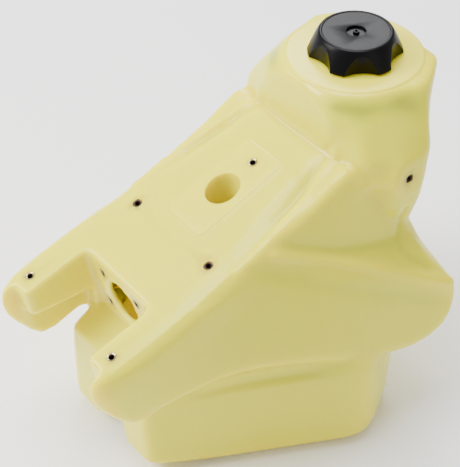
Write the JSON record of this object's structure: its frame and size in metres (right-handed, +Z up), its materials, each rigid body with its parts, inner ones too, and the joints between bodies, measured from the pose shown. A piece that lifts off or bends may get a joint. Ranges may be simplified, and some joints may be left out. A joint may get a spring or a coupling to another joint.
{
  "type": "motorcycle fuel tank",
  "caption": "Off-road motorcycle fuel tank: hollow moulded saddle shell with rear arms, pump port, side wings, brass thread inserts and a scalloped screw cap.",
  "frame": {"origin": "centre of the bounding box's footprint, on the surface that the tank stands on", "axes": "+X forward to the steering head, +Y to the rider's left, +Z up along the filler axis"},
  "size_m": [0.4428, 0.3172, 0.3767],
  "materials": {
    "natural_polyethylene": "satin, slightly translucent",
    "black_cap_plastic": "satin",
    "black_rubber": "matt",
    "brass": "turned and knurled"
  },
  "bodies": {
    "tank": {"tank_shell": "natural_polyethylene", "arm_insert_left": "brass", "deck_insert_left": "brass", "shroud_insert_left": "brass", "pump_insert_upper_left": "brass", "pump_insert_lower_left": "brass", "arm_insert_right": "brass", "deck_insert_right": "brass", "shroud_insert_right": "brass", "pump_insert_upper_right": "brass", "pump_insert_lower_right": "brass", "deck_insert_front": "brass"},
    "gasket_ring": {"cap_gasket": "black_rubber"},
    "screw_cap": {"filler_cap": "black_cap_plastic", "cap_vent_barb": "black_cap_plastic"}
  },
  "joints": [
    {"name": "cap_lift", "type": "slide", "parent": "tank", "child": "gasket_ring", "axis": [0, 0, 1], "range_m": [0, 0.0105]},
    {"name": "cap_turn", "type": "hinge", "parent": "gasket_ring", "child": "screw_cap", "pos_m": [0.15339, 0, 0.356], "axis": [0, 0, 1], "range_deg": [0, 630]}
  ],
  "couplings": [
    {"joint": "cap_lift", "follows": "cap_turn", "m_per_rad": 0.00095493}
  ]
}
